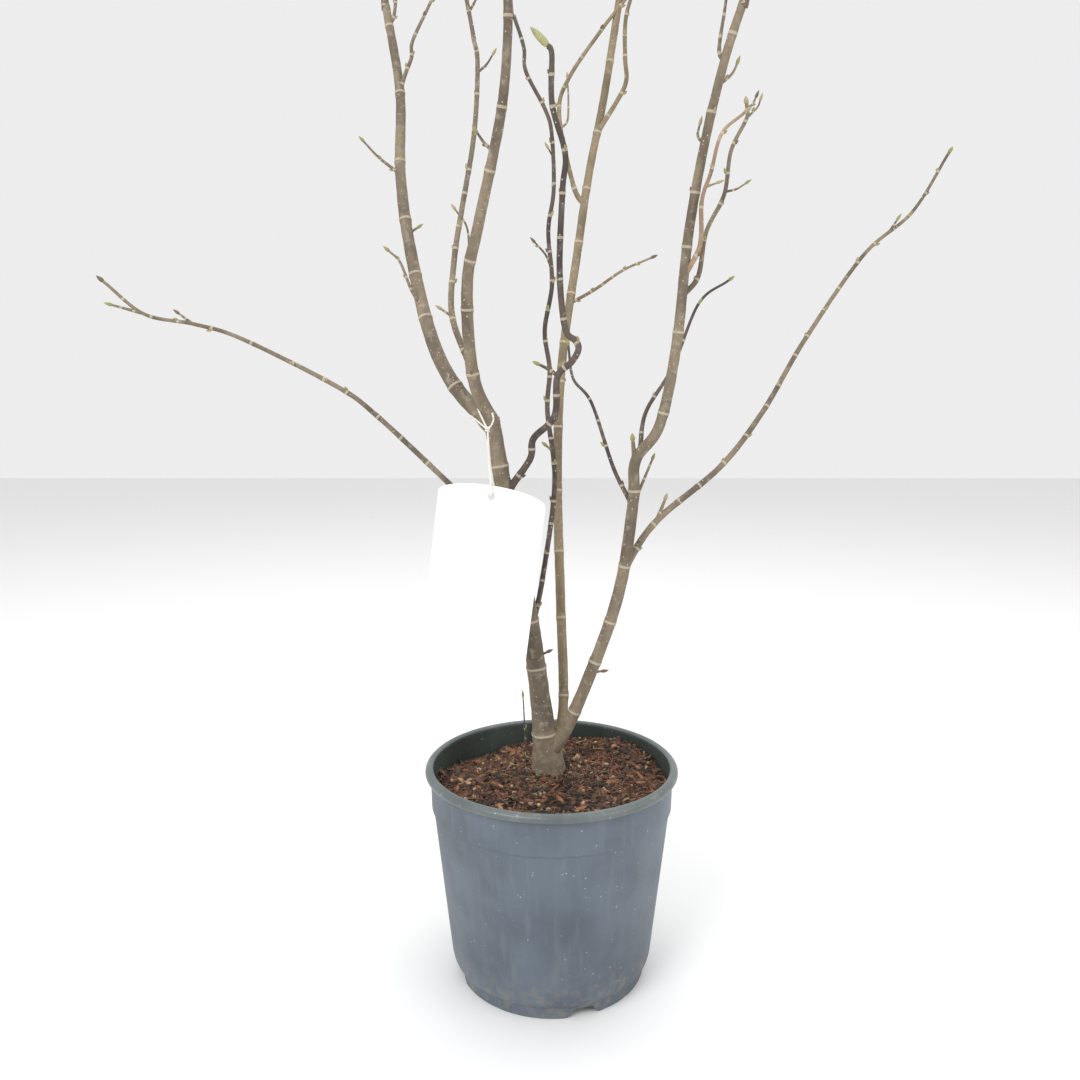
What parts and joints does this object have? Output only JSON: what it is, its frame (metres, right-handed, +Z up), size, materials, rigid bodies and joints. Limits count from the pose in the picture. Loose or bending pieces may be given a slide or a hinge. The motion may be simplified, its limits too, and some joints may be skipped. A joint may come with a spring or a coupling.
{
  "type": "potted saucer magnolia",
  "caption": "Young deciduous shrub in its bare season: upright stems from one foot, long side limbs and fine twigs, in a round nursery pot with a blank label tied on.",
  "frame": {"origin": "centre of the pot's foot, on the surface that it stands on", "axes": "+Z up; -Y towards the picture's viewer; +X to the right in the picture"},
  "size_m": [0.6948, 0.4097, 1.1181],
  "materials": {
    "pot_plastic": "moulded matte plastic, slate blue-grey, scuffed",
    "potting_mix": "bark-based potting mix",
    "grey_bark": "smooth grey-brown bark with pale lenticels",
    "olive_bark": "smooth olive-tan bark with pale lenticels",
    "dark_bark": "smooth dark brown bark",
    "tan_bark": "smooth tan bark",
    "twig_bark": "twig bark and buds",
    "card": "satin white label card, blank",
    "tie": "twisted white string"
  },
  "bodies": {
    "root": {"pot": "pot_plastic", "soil": "potting_mix", "trunk": "grey_bark", "right_stem": "grey_bark", "middle_stem": "olive_bark", "left_leader": "grey_bark", "middle_leader": "grey_bark", "third_leader": "grey_bark", "right_reach": "grey_bark", "left_reach": "grey_bark", "twisted_bough": "dark_bark", "thin_stem": "dark_bark", "inner_side_left": "olive_bark", "inner_side_right": "olive_bark", "grey_shoot": "dark_bark", "dark_shoot": "dark_bark", "tan_side": "tan_bark", "grey_side": "grey_bark", "foot_shoot": "dark_bark", "left_leader_twigs": "twig_bark", "middle_leader_twigs": "twig_bark", "third_leader_twigs": "twig_bark", "middle_stem_twigs": "twig_bark", "right_stem_twigs": "twig_bark", "thin_stem_twigs": "twig_bark", "label": "card", "label_tie": "tie"}
  },
  "joints": []
}
